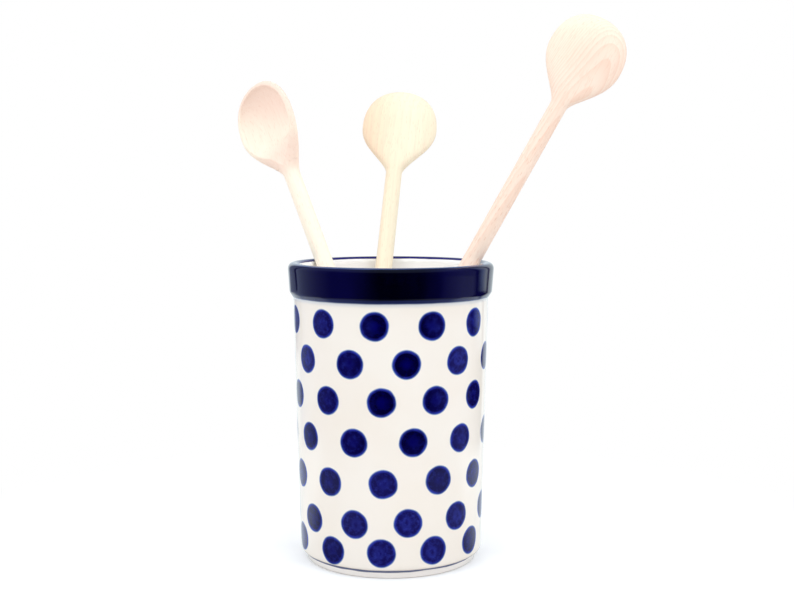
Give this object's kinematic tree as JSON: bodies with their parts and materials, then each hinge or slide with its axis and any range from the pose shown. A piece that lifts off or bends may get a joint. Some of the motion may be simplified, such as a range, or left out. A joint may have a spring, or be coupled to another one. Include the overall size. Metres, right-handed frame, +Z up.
{
  "type": "utensil crock with wooden spoons",
  "caption": "Round stoneware crock with a tapered wall, a thick rounded collar and a foot ring, holding loose turned beech spoons that lift out along their handles.",
  "frame": {"origin": "centre of the foot ring, on the surface that the crock stands on", "axes": "+Z up along the crock's axis, -Y towards the front that the picture shows"},
  "size_m": [0.2226, 0.1609, 0.3013],
  "materials": {
    "glazed_stoneware": "gloss",
    "beech": "bare sanded"
  },
  "bodies": {
    "crock": {"crock": "glazed_stoneware"},
    "left_spoon": {"left_spoon": "beech"},
    "middle_spoon": {"middle_spoon": "beech"},
    "right_spoon": {"right_spoon": "beech"}
  },
  "joints": [
    {"name": "left_spoon_lift", "type": "slide", "parent": "crock", "child": "left_spoon", "axis": [-0.3445, 0.3421, 0.8742], "range_m": [0, 0.185]},
    {"name": "middle_spoon_lift", "type": "slide", "parent": "crock", "child": "middle_spoon", "axis": [0.0948, 0.4461, 0.8899], "range_m": [0, 0.185]},
    {"name": "right_spoon_lift", "type": "slide", "parent": "crock", "child": "right_spoon", "axis": [0.4832, -0.0406, 0.8746], "range_m": [0, 0.185]}
  ]
}
